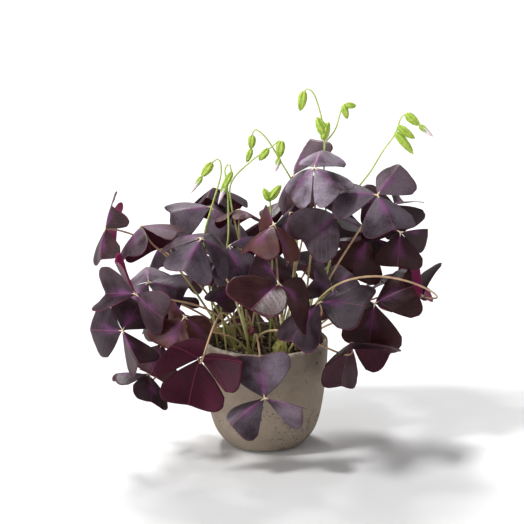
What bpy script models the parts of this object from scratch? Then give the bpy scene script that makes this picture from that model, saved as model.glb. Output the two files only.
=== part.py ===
"""A purple shamrock in its round grey pot, modelled at real size.

Metres, +Z up, the pot standing on z = 0 and centred on the Z axis. The photograph looks along +Y.
Each leaf is a sheet of three leaflets on a shared hub. Its petiole belongs to the crown it grows from.
"""
import itertools
import math

import bmesh
import bpy
import numpy as np
from mathutils import Matrix, Vector
from mathutils.bvhtree import BVHTree

MM = 0.001

# Pot: outer radius at each height, from the flat foot to the rim.
POT_HEIGHT = 99 * MM
POT_RIM_RADIUS = 57.5 * MM
POT_WALL = 4.2 * MM
POT_FLOOR = 6 * MM
POT_FOOT_RADIUS = 30 * MM
POT_SIDE = ((30, 0), (36, 2), (40.5, 6), (46, 14), (50, 25), (53, 40), (55.5, 60), (57, 80), (57.5, 95))
LIP_DROP = 2.4 * MM
POT_STEPS = 32

# Soil: a loose fill that stops below the rim.
GAP = 0.3 * MM
SOIL_TOP = 89 * MM
SOIL_BUMP = 1.3 * MM
SOIL_STEPS = 26
ROOT_DEPTH = 16 * MM

# Crowns: the rhizome tips that the petioles grow from, by place on the soil.
CROWN_RADIUS = 4.6 * MM
CROWN_TOP = 92 * MM
CROWNS = {"a": (-27, -4), "b": (-12, -27), "c": (17, -25), "d": (31, -1), "e": (13, 24), "f": (-15, 22)}
CROWN_SIDES = 10
PETIOLE_RADIUS = 0.95 * MM
PETIOLE_SIDES = 5
PETIOLE_STEPS = 6

# Leaf blades.
BLADE = 0.7 * MM
HUB_RADIUS = 1.7 * MM
HUB_SPREAD = math.radians(30)
# Reach of a leaflet's edge, in leaflet lengths, at angles from its midrib in degrees.
OUTLINE = ((0, 0.86), (15, 0.93), (32, 1.04), (46, 0.92))
ROWS = (0.42, 0.76)
CLEARANCE = 0.45 * MM
TURN_LIMIT = math.radians(57)
SEED = 7

# Each leaf: hub (mm), leaflet length (mm), the way its upper face looks (compass and lean, degrees),
# the heading of its first leaflet, how far each leaflet hangs, and how sharply each folds.
LEAVES = (
    ("leaf_front", (-1, -92, 71), 42, (270, 48), 98, (-28, 10, -12), (-4, 50, 66)),
    ("leaf_front_left", (-57, -86, 104), 47, (94, 70), -140, (25, 25, 37), (24, 40, 44)),
    ("leaf_star_right", (46, -74, 151), 49, (219, 25), -149, (27, 9, 53), (7, 3, 78)),
    ("leaf_big_grey", (63, -17, 216), 48, (277, 80), -138, (-14, 26, 25), (-30, 78, 60)),
    ("leaf_middle_star", (7, -60, 216), 39, (134, 5), 101, (-25, 36, 75), (74, 24, -10)),
    ("leaf_star_left", (-70, -75, 138), 36, (285, 29), 113, (14, 51, 43), (78, 70, 12)),
    ("leaf_centre", (11, -75, 168), 48, (276, 35), 116, (2, -3, 52), (68, -29, 78)),
    ("leaf_left", (-111, -59, 155), 39, (186, 75), 125, (-45, 53, -45), (-1, 31, 11)),
    ("leaf_right_black", (98, -20, 136), 45, (257, 43), -110, (42, -14, 26), (38, 17, 78)),
    ("leaf_second_star", (-91, -51, 108), 34, (273, 47), 127, (7, 38, 13), (78, 69, 66)),
    ("leaf_left_star", (-32, -35, 192), 36, (240, 20), 35, (12, 50, 45), (30, 40, 40)),
    ("leaf_low_left", (-104, -37, 80), 35, (31, 34), -53, (43, -15, 28), (-1, 18, 23)),
    ("leaf_far_left_low", (-124, -66, 124), 43, (267, 80), -180, (34, -30, 50), (61, 56, 42)),
    ("leaf_right_pair", (94, -15, 197), 46, (273, 46), 124, (3, 32, 34), (65, 48, 78)),
    ("leaf_far_right", (145, -5, 144), 40, (156, 80), 173, (-45, -45, -25), (-5, 17, 39)),
    ("leaf_top_grey", (26, 22, 247), 45, (200, 40), 35, (-15, 30, 40), (24, 40, 40)),
    ("leaf_top_lilac", (43, -5, 251), 39, (250, 25), 75, (5, 40, 25), (30, 32, 25)),
    ("leaf_top_centre", (22, -20, 224), 36, (245, 50), -150, (5, 45, 50), (14, 50, 50)),
    ("leaf_right_low", (76, -40, 105), 45, (114, 38), 169, (57, 27, 22), (19, 17, 18)),
    ("leaf_upper_left", (-50, 20, 217), 46, (280, 30), -165, (5, 25, 30), (24, 30, 35)),
    ("leaf_grey_pair", (-55, -48, 201), 41, (285, 35), -110, (20, 40, 40), (30, 40, 44)),
    ("leaf_left_high", (-110, -15, 206), 40, (168, 27), -135, (33, 37, 49), (7, 3, 52)),
    ("leaf_far_left", (-144, 5, 200), 35, (216, 79), -2, (-13, 53, -12), (33, 78, 17)),
    ("leaf_right_high", (121, 50, 214), 35, (258, 62), -69, (46, 66, -11), (53, -30, 17)),
    ("leaf_right_edge", (122, 14, 194), 41, (269, 39), -97, (39, 19, 7), (59, 63, 19)),
    ("leaf_upper_right", (99, 15, 227), 43, (275, 29), 77, (-20, 7, 17), (42, 18, 18)),
    ("leaf_lilac_left", (-105, -25, 157), 40, (265, 40), -20, (5, 30, 30), (20, 30, 30)),
    ("leaf_behind_star", (60, -40, 148), 34, (269, 60), 161, (-45, -39, 15), (21, 18, 18)),
    ("leaf_small_grey", (-30, -25, 152), 33, (265, 40), -90, (5, 30, 30), (25, 30, 30)),
    ("leaf_top_wine", (-24, 36, 210), 36, (90, 20), 40, (10, 25, 25), (26, 18, 18)),
    ("leaf_right_back", (130, 38, 150), 38, (60, 20), 100, (15, 20, 20), (30, 25, 30)),
    ("leaf_glow", (-3, 12, 170), 38, (260, 25), -40, (15, 25, 25), (25, 35, 30)),
    ("leaf_back_1", (-95, 60, 178), 42, (150, 30), 100, (20, 35, 25), (30, 24, 40)),
    ("leaf_back_2", (-52, 88, 158), 44, (120, 35), 60, (25, 35, 30), (24, 36, 18)),
    ("leaf_back_3", (-5, 98, 186), 43, (90, 30), 30, (30, 30, 20), (40, 24, 30)),
    ("leaf_back_4", (48, 95, 160), 44, (65, 35), 100, (20, 35, 35), (20, 36, 28)),
    ("leaf_back_5", (92, 78, 186), 42, (45, 25), 10, (25, 30, 35), (34, 20, 36)),
    ("leaf_back_6", (-98, 30, 128), 40, (165, 35), 130, (20, 30, 35), (26, 36, 20)),
    ("leaf_back_7", (28, 60, 214), 42, (80, 20), 80, (25, 25, 30), (20, 34, 40)),
    ("leaf_back_8", (-50, 66, 222), 40, (110, 20), 20, (25, 35, 25), (30, 20, 36)),
    ("leaf_back_9", (86, 62, 122), 40, (50, 45), 60, (20, 25, 30), (24, 34, 30)),
    ("leaf_back_10", (-20, 82, 118), 42, (95, 50), 90, (20, 25, 30), (34, 24, 30)),
)
# Ways to clear a neighbour: slides along the line of sight (mm), lifts (mm), turns (degrees) and sizes,
# the mildest first, then ways for the petiole to bend.
SIGHT = Vector((0.0, 0.976, -0.22))
MOVES = sorted(((slide, lift, turn, size) for slide in range(-32, 33, 4) for lift in (0, 5, -5)
                for turn in (0, 12, -12, 24, -24, 36, -36) for size in (1, 0.88, 0.76)),
               key=lambda m: (abs(m[0]) / 8 + abs(m[1]) / 5 + abs(m[2]) / 18 + (1 - m[3]) * 18, m))
BENDS = tuple((rise, reach, swing, lean) for lean in (0.25, 0.6) for rise in (0.45, 0.65, 0.9, 1.25)
              for reach in (0.28, 0.14, 0.45) for swing in (0, 25, -25, 50, -50, 90, -90))

# Flower stalks: the places (mm) that each passes, foot first, then its buds as (root, tip, radius).
STALK_RADIUS = 0.85 * MM
STALK_SIDES = 6
BUD_SIDES = 6
STALKS = {
    "stalk_left": (
        ((-44, -9, 74), (-44, -9, 98), (-53, -8, 166), (-55, -7, 195), (-48, -6, 222), (-40, -6, 249),
         (-40, -6, 262), (-43, -6, 265), (-48, -6, 261)),
        (((-48, -6, 261), (-57, -7, 249), 3.4), ((-57, -7, 249), (-66, -8, 235), 2.2))),
    "stalk_left_inner": (
        ((-36, -17, 74), (-36, -17, 98), (-43, -16, 162), (-34, -15, 190), (-33, -14, 215),
         (-34, -14, 244), (-36, -14, 256), (-32, -14, 262), (-30, -14, 254)),
        (((-30, -14, 254), (-40, -15, 236), 2.6), ((-34, -14, 246), (-42, -17, 226), 2.2))),
    "stalk_arching": (
        ((-4, 8, 74), (-4, 8, 98), (-20, 12, 170), (-31, 10, 222), (-30, 8, 243), (-12, 6, 262),
         (5, 5, 274), (12, 5, 280), (15, 5, 279)),
        (((14, 5, 279), (12, 4, 264), 3.6), ((12, 4, 264), (9, 3, 252), 2.3),
         ((2, 5, 272), (-6, 4, 262), 3.0))),
    "stalk_leaning": (
        ((22, 10, 74), (22, 10, 98), (29, 14, 180), (27, 14, 232), (13, 14, 261), (3, 13, 278),
         (-4, 13, 286), (-10, 13, 289), (-12, 13, 283)),
        (((-12, 13, 283), (-13, 13, 271), 3.2), ((-13, 13, 271), (-17, 12, 259), 2.4))),
    "stalk_tall": (
        ((36, 14, 74), (36, 14, 98), (50, 18, 170), (55, 17, 214), (53, 16, 251), (53, 16, 282),
         (49, 15, 304), (43, 15, 321), (37, 15, 325), (34, 15, 322)),
        (((34, 15, 322), (31, 15, 305), 3.6), ((54, 16, 284), (46, 15, 300), 4.2),
         ((52, 16, 280), (57, 15, 296), 3.4))),
    "stalk_right": (
        ((43, -7, 74), (43, -7, 98), (56, -2, 160), (65, 4, 205), (79, 6, 231), (94, 8, 251),
         (106, 9, 271), (116, 10, 285), (121, 10, 300), (126, 10, 303)),
        (((126, 10, 303), (138, 9, 293), 3.6), ((138, 9, 293), (150, 8, 283), 2.4),
         ((119, 10, 292), (134, 9, 281), 3.2), ((117, 10, 286), (133, 9, 267), 3.4))),
    "stalk_short": (
        ((4, -10, 74), (4, -10, 98), (6, -12, 170), (5, -12, 210), (4, -12, 230)),
        (((4, -12, 229), (-2, -13, 240), 3.0), ((4, -12, 230), (14, -13, 243), 3.2))),
}
BRANCH = {"stalk_tall": ((53, 16, 276), (63, 20, 288), (69, 22, 308), (73, 22, 311))}
BRANCH_BUDS = {"stalk_tall": (((70, 22, 309), (74, 22, 297), 2.8), ((72, 22, 310), (82, 22, 309), 2.6))}

POT_COLOUR = (0.27, 0.235, 0.19)
SOIL_COLOUR = (0.035, 0.022, 0.015)
PETIOLE_COLOUR = (0.50, 0.33, 0.24)
LEAF_COLOUR = (0.045, 0.020, 0.035)
STALK_COLOUR = (0.42, 0.55, 0.12)


def clear_scene():
    """Remove what a new file starts with."""
    for thing in list(bpy.data.objects):
        bpy.data.objects.remove(thing, do_unlink=True)


def material(name, colour, roughness):
    """A Principled material of one colour."""
    paint = bpy.data.materials.new(name)
    paint.use_nodes = True
    shader = paint.node_tree.nodes["Principled BSDF"]
    shader.inputs["Base Color"].default_value = (*colour, 1.0)
    shader.inputs["Roughness"].default_value = roughness
    shader.inputs["Metallic"].default_value = 0.0
    return paint


def body(name, mesh_bm, paint, location=(0, 0, 0), rotation=None):
    """Put a bmesh into the scene as one named object."""
    bmesh.ops.recalc_face_normals(mesh_bm, faces=mesh_bm.faces)
    mesh = bpy.data.meshes.new(name)
    mesh_bm.to_mesh(mesh)
    mesh_bm.free()
    mesh.materials.append(paint)
    mesh.shade_smooth()
    thing = bpy.data.objects.new(name, mesh)
    thing.location = location
    if rotation is not None:
        thing.rotation_euler = rotation.to_euler()
    bpy.context.scene.collection.objects.link(thing)
    return thing


def lathe(profile, steps):
    """Spin an (r, z) profile that starts and ends on the axis into a closed body."""
    bm = bmesh.new()
    verts = [bm.verts.new((r, 0, z)) for r, z in profile]
    edges = [bm.edges.new(pair) for pair in zip(verts, verts[1:])]
    bmesh.ops.spin(bm, geom=verts + edges, axis=(0, 0, 1), cent=(0, 0, 0), angle=math.tau, steps=steps,
                   use_duplicate=False)
    bmesh.ops.remove_doubles(bm, verts=bm.verts, dist=0.01 * MM)
    return bm


def pot_radius(height):
    """Outer radius of the pot at a height."""
    heights = [z * MM for _, z in POT_SIDE]
    radii = [r * MM for r, _ in POT_SIDE]
    return float(np.interp(height, heights, radii))


def make_pot(paint):
    """The thin-walled pot with its worn round lip."""
    outside = [(0, 0)] + [(r * MM, z * MM) for r, z in POT_SIDE]
    lip_mid = POT_RIM_RADIUS - POT_WALL / 2
    lip = [(POT_RIM_RADIUS - 0.9 * MM, POT_HEIGHT - 0.9 * MM), (lip_mid, POT_HEIGHT),
           (POT_RIM_RADIUS - POT_WALL, POT_HEIGHT - LIP_DROP)]
    inside = [(pot_radius(z * MM) - POT_WALL, z * MM) for z in (80, 60, 40, 25, 14)]
    inside += [(POT_FOOT_RADIUS + 4 * MM, POT_FLOOR), (0, POT_FLOOR)]
    return body("pot", lathe(outside + lip + inside, POT_STEPS), paint)


def soil_height(x, y):
    """The soil's uneven top."""
    wave = math.sin(x / MM * 0.13 + 1.0) * math.cos(y / MM * 0.11) + 0.5 * math.sin(y / MM * 0.27 + x / MM * 0.21)
    edge = min(1.0, max(0.0, (50 * MM - math.hypot(x, y)) / (12 * MM)))
    return SOIL_TOP + SOIL_BUMP * wave * edge


def make_soil(paint):
    """The fill, with a plain hole for each crown and flower stalk."""
    side = [(pot_radius(z * MM) - POT_WALL - GAP - 0.25 * MM, z * MM) for z in (14, 25, 40, 60, 80)]
    rim = pot_radius(SOIL_TOP) - POT_WALL - GAP - 0.25 * MM
    top = [(rim, SOIL_TOP)] + [(r * MM, SOIL_TOP) for r in (42, 30, 17, 0)]
    floor = POT_FLOOR + GAP
    bm = lathe([(0, floor), (POT_FOOT_RADIUS + 3 * MM, floor)] + side + top, SOIL_STEPS)
    for vert in bm.verts:
        if vert.co.z > SOIL_TOP - 0.1 * MM:
            vert.co.z = soil_height(vert.co.x, vert.co.y)
    soil = body("soil", bm, paint)
    holes = bpy.data.collections.new("holes")
    bpy.context.scene.collection.children.link(holes)
    for x, y in CROWNS.values():
        add_hole(holes, x * MM, y * MM, CROWN_RADIUS + 0.7 * MM, CROWN_SIDES)
    for route, _ in STALKS.values():
        add_hole(holes, route[0][0] * MM, route[0][1] * MM, STALK_RADIUS + 1.3 * MM, STALK_SIDES + 2)
    cut = soil.modifiers.new("holes", "BOOLEAN")
    cut.operation = "DIFFERENCE"
    cut.operand_type = "COLLECTION"
    cut.collection = holes
    cut.solver = "MANIFOLD"
    settle_modifiers(soil, holes)
    return soil


def add_hole(collection, x, y, radius, sides):
    """One round hole cutter, standing through the soil's top."""
    bm = bmesh.new()
    low = SOIL_TOP - ROOT_DEPTH
    high = SOIL_TOP + 10 * MM
    bmesh.ops.create_cone(bm, cap_ends=True, segments=sides, radius1=radius, radius2=radius, depth=high - low)
    bmesh.ops.translate(bm, verts=bm.verts, vec=(x, y, (low + high) / 2))
    mesh = bpy.data.meshes.new("hole")
    bm.to_mesh(mesh)
    bm.free()
    collection.objects.link(bpy.data.objects.new("hole", mesh))


def settle_modifiers(thing, collection):
    """Apply a thing's modifiers and clear away the collection that they used."""
    graph = bpy.context.evaluated_depsgraph_get()
    mesh = bpy.data.meshes.new_from_object(thing.evaluated_get(graph))
    thing.modifiers.clear()
    thing.data = mesh
    for other in list(collection.objects):
        bpy.data.objects.remove(other, do_unlink=True)
    bpy.data.collections.remove(collection)


def smooth_route(points, steps):
    """Even points along a Catmull-Rom curve through the given ones."""
    path = [Vector(p) for p in points]
    ends = [path[0] * 2 - path[1]] + path + [path[-1] * 2 - path[-2]]
    fine = []
    for a, b, c, d in zip(ends, ends[1:], ends[2:], ends[3:]):
        for k in range(8):
            t = k / 8
            fine.append(0.5 * (2 * b + (c - a) * t + (2 * a - 5 * b + 4 * c - d) * t * t
                               + (3 * b - 3 * c + d - a) * t * t * t))
    fine.append(path[-1])
    runs = np.concatenate([[0], np.cumsum([(q - p).length for p, q in zip(fine, fine[1:])])])
    marks = np.linspace(0, runs[-1], steps + 1)
    return [Vector([float(np.interp(m, runs, [p[i] for p in fine])) for i in range(3)]) for m in marks]


def add_tube(bm, points, radii, sides):
    """A closed tube along points, with flat ends."""
    heading = (points[1] - points[0]).normalized()
    side = heading.orthogonal().normalized()
    rings = []
    for i, point in enumerate(points):
        ahead = (points[min(i + 1, len(points) - 1)] - points[max(i - 1, 0)]).normalized()
        side = (side - ahead * side.dot(ahead)).normalized()
        up = ahead.cross(side)
        ring = []
        for k in range(sides):
            turn = math.tau * k / sides
            ring.append(bm.verts.new(point + radii[i] * (math.cos(turn) * side + math.sin(turn) * up)))
        rings.append(ring)
    for low, high in zip(rings, rings[1:]):
        for k in range(sides):
            bm.faces.new((low[k], low[(k + 1) % sides], high[(k + 1) % sides], high[k]))
    bm.faces.new(list(reversed(rings[0])))
    bm.faces.new(rings[-1])


def add_bud(bm, root, tip, radius):
    """A pointed bud between two places."""
    root = Vector(root) * MM
    tip = Vector(tip) * MM
    shape = ((-0.04, 0.25), (0.2, 0.85), (0.5, 1.0), (0.8, 0.62), (1.0, 0.2))
    points = [root.lerp(tip, t) for t, _ in shape]
    add_tube(bm, points, [radius * MM * r for _, r in shape], BUD_SIDES)


def leaf_frame(look):
    """The turn from flat to a leaf whose upper face looks by compass and lean."""
    compass, lean = (math.radians(v) for v in look)
    face = Vector((math.sin(lean) * math.cos(compass), math.sin(lean) * math.sin(compass), math.cos(lean)))
    return Vector((0, 0, 1)).rotation_difference(face).to_matrix()


def edge_reach(angle):
    """Reach of the leaflet's edge at an angle from its midrib, in leaflet lengths."""
    return float(np.interp(abs(angle), [math.radians(a) for a, _ in OUTLINE], [r for _, r in OUTLINE]))


def leaflet_point(length, hang, curl, fold, out, angle):
    """A place on a leaflet, in its leaf's flat frame, with the midrib along +X."""
    along = out * edge_reach(angle) * length * math.cos(angle)
    across = out * edge_reach(angle) * length * math.sin(angle)
    bend = curl * along / length
    steepness = hang + bend
    mean = hang + bend / 2
    spine = Vector((along * math.cos(mean), 0, -along * math.sin(mean)))
    normal = Vector((math.sin(steepness), 0, math.cos(steepness)))
    return spine + Vector((0, across * math.cos(fold), 0)) - normal * abs(across) * math.sin(fold)


def free_fold(length, hang, curl, fold):
    """The sharpest fold, up to the one asked for, that keeps a leaflet inside its third of the leaf."""
    while fold > math.radians(-35):
        turns = []
        for out in (*ROWS, 1.0):
            place = leaflet_point(length, hang, curl, fold, out, math.radians(OUTLINE[-1][0]))
            turns.append(math.atan2(place.y, place.x))
        if max(turns) <= TURN_LIMIT:
            return fold
        fold -= math.radians(2)
    return fold


def leaf_shape(index):
    """Each leaflet's heading, hang, curl and fold, from the table and a small seeded change."""
    _, _, length, _, heading, hangs, folds = LEAVES[index]
    rng = np.random.default_rng(SEED + index)
    shapes = []
    for k, hang in enumerate(hangs):
        curl = math.radians(22 + 10 * rng.random())
        start = math.radians(hang) - curl / 2
        turn = math.radians(heading + 120 * k)
        shapes.append((turn, start, curl, free_fold(length, start, curl, math.radians(folds[k]))))
    return shapes


def leaf_sheet(index):
    """Vertices and triangles of a leaf's mid-surface round its hub, in the leaf's flat frame."""
    length = LEAVES[index][2] * MM
    verts = [Vector((0, 0, 0))]
    faces = []
    hub_ring = []
    last_angle = math.radians(OUTLINE[-1][0])
    for turn, hang, curl, fold in leaf_shape(index):
        spin = Matrix.Rotation(turn, 3, "Z")
        row = []
        for angle in (-HUB_SPREAD, 0, HUB_SPREAD):
            row.append(len(verts))
            verts.append(spin @ Vector((HUB_RADIUS * math.cos(angle), HUB_RADIUS * math.sin(angle), 0)))
        hub_ring += row
        rows = [row]
        for out, count in ((ROWS[0], 3), (ROWS[1], 5), (1.0, 7)):
            row = []
            for k in range(count):
                angle = last_angle * (2 * k / (count - 1) - 1)
                row.append(len(verts))
                verts.append(spin @ leaflet_point(length, hang, curl, fold, out, angle))
            rows.append(row)
        for low, high in zip(rows, rows[1:]):
            faces += stitch(low, high)
    for k in range(len(hub_ring)):
        faces.append((0, hub_ring[k], hub_ring[(k + 1) % len(hub_ring)]))
    return verts, faces


def stitch(low, high):
    """Triangles between two rows, alike on both sides of the middle."""
    faces = []
    for row, other, flip in ((low, high, False), (low[::-1], high[::-1], True)):
        a = row[len(row) // 2:]
        b = other[len(other) // 2:]
        i = j = 0
        while i < len(a) - 1 or j < len(b) - 1:
            step_b = i == len(a) - 1 or (j < len(b) - 1 and (j + 1) / (len(b) - 1) <= (i + 1) / (len(a) - 1))
            tri = (a[i], b[j], b[j + 1]) if step_b else (a[i], b[j], a[i + 1])
            faces.append(tri[::-1] if flip else tri)
            if step_b:
                j += 1
            else:
                i += 1
    return faces


def sheet_tree(verts, faces):
    """A search tree of a blade, a little thicker than it is."""
    bm = bmesh.new()
    made = [bm.verts.new(v) for v in verts]
    for face in faces:
        bm.faces.new([made[i] for i in face])
    bm.normal_update()
    offset = BLADE / 2 + CLEARANCE
    normals = [v.normal.copy() for v in made]
    bm.free()
    upper = [v + n * offset for v, n in zip(verts, normals)]
    lower = [v - n * offset for v, n in zip(verts, normals)]
    count = len(verts)
    both = list(faces) + [tuple(i + count for i in face) for face in faces]
    return BVHTree.FromPolygons(upper + lower, both + rim_faces(faces, count))


def rim_faces(faces, count):
    """Triangles that close the border between a sheet's two sides."""
    seen = {}
    for face in faces:
        for a, b in zip(face, face[1:] + face[:1]):
            seen[(a, b)] = True
    closing = []
    for a, b in seen:
        if (b, a) not in seen:
            closing += [(a, b, b + count), (a, b + count, a + count)]
    return closing


def tube_tree(points, radius):
    """A search tree of a tube."""
    bm = bmesh.new()
    add_tube(bm, points, [radius] * len(points), PETIOLE_SIDES)
    tree = BVHTree.FromBMesh(bm)
    bm.free()
    return tree


def nearest_crowns(hub):
    """The three crowns nearest a leaf's own side of the pot."""
    heading = math.atan2(hub.y, hub.x)

    def apart(name):
        x, y = CROWNS[name]
        return abs((math.atan2(y, x) - heading + math.pi) % math.tau - math.pi)

    return sorted(CROWNS, key=apart)[:3]


def petiole_route(crown, hub, face, bend):
    """A petiole from its crown up and over to the underside of its hub."""
    rise, reach, swing, tip = bend
    x, y = CROWNS[crown]
    foot = Vector((x * MM, y * MM, CROWN_TOP - 9 * MM))
    end = hub - face * (BLADE / 2 + GAP + 0.25 * MM)
    away = Vector((hub.x - foot.x, hub.y - foot.y, 0))
    span = (end - foot).length
    lean = Matrix.Rotation(math.radians(swing), 3, "Z") @ (away.normalized() * min(tip, away.length / span))
    first = foot + (lean + Vector((0, 0, 1))) * span * rise
    second = end - face * span * reach
    route = []
    for k in range(PETIOLE_STEPS + 1):
        t = k / PETIOLE_STEPS
        route.append(foot * (1 - t) ** 3 + first * 3 * t * (1 - t) ** 2 + second * 3 * t * t * (1 - t) + end * t ** 3)
    return route


def is_clear(tree, placed):
    """Whether a tree touches none of the placed ones."""
    return not any(tree.overlap(other) for other in placed)


def move_leaf(index, move):
    """A leaf's hub, its turn from flat and its size after a move."""
    _, spot, _, look, _, _, _ = LEAVES[index]
    slide, lift, turn, size = move
    hub = Vector(spot) * MM + SIGHT * slide * MM + Vector((0, 0, lift * MM))
    return hub, leaf_frame(look) @ Matrix.Rotation(math.radians(turn), 3, "Z"), size


def place_leaves(pot, soil, stalks):
    """Find each leaf's clear place and its petiole's clear way, in the table's order."""
    graph = bpy.context.evaluated_depsgraph_get()
    ground = [BVHTree.FromObject(thing, graph) for thing in (pot, soil)]
    blades = [BVHTree.FromObject(thing, graph) for thing in stalks]
    petioles = []
    placed = []
    for index, leaf in enumerate(LEAVES):
        found = find_place(index, ground, blades, petioles)
        if found is None:
            print("no clear place for", leaf[0])
            continue
        move, bend, blade_tree, petiole_tree, crown = found
        blades.append(blade_tree)
        petioles.append((crown, petiole_tree))
        placed.append((index, move, bend, crown))
    return placed


def find_place(index, ground, blades, petioles):
    """The first move and bend that leave a leaf and its petiole clear of the others."""
    verts, faces = leaf_sheet(index)
    others = [tree for _, tree in petioles]
    for move in MOVES:
        hub, turn, size = move_leaf(index, move)
        blade_tree = sheet_tree([turn @ (v * size) + hub for v in verts], faces)
        if not is_clear(blade_tree, ground + blades + others):
            continue
        face = turn @ Vector((0, 0, 1))
        for crown, bend in itertools.product(nearest_crowns(hub), BENDS):
            strangers = [tree for owner, tree in petioles if owner != crown]
            route = petiole_route(crown, hub, face, bend)
            whole = tube_tree(route, PETIOLE_RADIUS + CLEARANCE)
            below = tube_tree(route[:-1] + [route[-2].lerp(route[-1], 0.8)], PETIOLE_RADIUS + GAP)
            if is_clear(below, [blade_tree]) and is_clear(whole, blades + strangers + ground):
                return move, bend, blade_tree, whole, crown
    return None


def make_leaf(placing, paint):
    """A leaf's blade: three leaflets on one hub."""
    index, move, _, _ = placing
    hub, turn, size = move_leaf(index, move)
    verts, faces = leaf_sheet(index)
    bm = bmesh.new()
    made = [bm.verts.new(v * size) for v in verts]
    for face in faces:
        bm.faces.new([made[i] for i in face])
    leaf = body(LEAVES[index][0], bm, paint, hub, turn)
    thicken = leaf.modifiers.new("blade", "SOLIDIFY")
    thicken.thickness = BLADE
    thicken.offset = 0
    return leaf


def make_crown(letter, placed, paint):
    """A rhizome tip with all its petioles as one growth."""
    x, y = CROWNS[letter]
    bottom = SOIL_TOP - ROOT_DEPTH + GAP
    bm = bmesh.new()
    profile = ((bottom, 0.9), (bottom + 2 * MM, 1.0), (CROWN_TOP - 3 * MM, 1.0), (CROWN_TOP, 0.6))
    points = [Vector((x * MM, y * MM, z)) for z, _ in profile]
    add_tube(bm, points, [CROWN_RADIUS * r for _, r in profile], CROWN_SIDES)
    crown = body("crown_" + letter, bm, paint)
    petioles = bpy.data.collections.new("petioles")
    bpy.context.scene.collection.children.link(petioles)
    for index, move, bend, owner in placed:
        if owner != letter:
            continue
        hub, turn, _ = move_leaf(index, move)
        route = petiole_route(letter, hub, turn @ Vector((0, 0, 1)), bend)
        tube = bmesh.new()
        add_tube(tube, route, [PETIOLE_RADIUS * (1.15 - 0.3 * k / PETIOLE_STEPS) for k in range(PETIOLE_STEPS + 1)],
                 PETIOLE_SIDES)
        mesh = bpy.data.meshes.new("petiole")
        tube.to_mesh(mesh)
        tube.free()
        petioles.objects.link(bpy.data.objects.new("petiole", mesh))
    join = crown.modifiers.new("petioles", "BOOLEAN")
    join.operation = "UNION"
    join.operand_type = "COLLECTION"
    join.collection = petioles
    join.solver = "MANIFOLD"
    settle_modifiers(crown, petioles)
    return crown


def stalk_parts(name):
    """The routes and buds of a flower stalk."""
    route, buds = STALKS[name]
    routes = [[p * MM for p in smooth_route(route, 14)]]
    if name in BRANCH:
        routes.append([p * MM for p in smooth_route(BRANCH[name], 5)])
        buds = buds + BRANCH_BUDS[name]
    return routes, buds


def make_stalk(name, paint):
    """A flower stalk with its buds as one growth."""
    routes, buds = stalk_parts(name)
    bm = bmesh.new()
    add_tube(bm, routes[0], [STALK_RADIUS] * len(routes[0]), STALK_SIDES)
    stalk = body(name, bm, paint)
    extras = bpy.data.collections.new("buds")
    bpy.context.scene.collection.children.link(extras)
    for route in routes[1:]:
        link_extra(extras, lambda tube, way=route: add_tube(tube, way, [STALK_RADIUS * 0.9] * len(way), STALK_SIDES))
    for root, tip, radius in buds:
        link_extra(extras, lambda tube, a=root, b=tip, r=radius: add_bud(tube, a, b, r))
    join = stalk.modifiers.new("buds", "BOOLEAN")
    join.operation = "UNION"
    join.operand_type = "COLLECTION"
    join.collection = extras
    join.solver = "MANIFOLD"
    settle_modifiers(stalk, extras)
    return stalk


def link_extra(collection, fill):
    """Add a mesh to a collection that a union will use."""
    bm = bmesh.new()
    fill(bm)
    bmesh.ops.recalc_face_normals(bm, faces=bm.faces)
    mesh = bpy.data.meshes.new("extra")
    bm.to_mesh(mesh)
    bm.free()
    collection.objects.link(bpy.data.objects.new("extra", mesh))


def build():
    """The whole plant."""
    clear_scene()
    pot = make_pot(material("pot_clay", POT_COLOUR, 0.8))
    soil = make_soil(material("potting_soil", SOIL_COLOUR, 0.95))
    green = material("stalk_green", STALK_COLOUR, 0.5)
    stalks = [make_stalk(name, green) for name in STALKS]
    placed = place_leaves(pot, soil, stalks)
    petiole_paint = material("petiole_tan", PETIOLE_COLOUR, 0.45)
    for letter in CROWNS:
        make_crown(letter, placed, petiole_paint)
    leaf_paint = material("leaf_purple", LEAF_COLOUR, 0.5)
    for placing in placed:
        make_leaf(placing, leaf_paint)


build()
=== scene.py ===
"""The looks of a purple shamrock in its round grey pot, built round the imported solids."""
import itertools
from math import atan2, cos, degrees, exp, hypot, pi, radians, sin, sqrt, tau

import bmesh
import bpy
import numpy as np
from mathutils import Matrix, Vector, noise
from mathutils.bvhtree import BVHTree


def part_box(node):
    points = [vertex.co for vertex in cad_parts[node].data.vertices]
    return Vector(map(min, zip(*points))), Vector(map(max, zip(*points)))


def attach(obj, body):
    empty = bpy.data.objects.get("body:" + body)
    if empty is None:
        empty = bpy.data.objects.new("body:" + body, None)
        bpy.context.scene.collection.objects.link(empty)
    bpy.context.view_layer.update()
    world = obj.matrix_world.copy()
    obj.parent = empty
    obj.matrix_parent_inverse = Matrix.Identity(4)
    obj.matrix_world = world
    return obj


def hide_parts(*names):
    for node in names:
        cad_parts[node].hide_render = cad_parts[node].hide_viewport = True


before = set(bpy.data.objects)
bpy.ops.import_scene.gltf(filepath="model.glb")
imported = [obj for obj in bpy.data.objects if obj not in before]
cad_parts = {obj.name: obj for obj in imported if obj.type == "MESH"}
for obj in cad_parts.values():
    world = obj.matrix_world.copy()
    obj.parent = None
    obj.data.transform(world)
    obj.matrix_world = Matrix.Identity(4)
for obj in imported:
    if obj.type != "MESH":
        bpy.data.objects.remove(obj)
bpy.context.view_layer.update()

MM = 0.001
scene = bpy.context.scene

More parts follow.
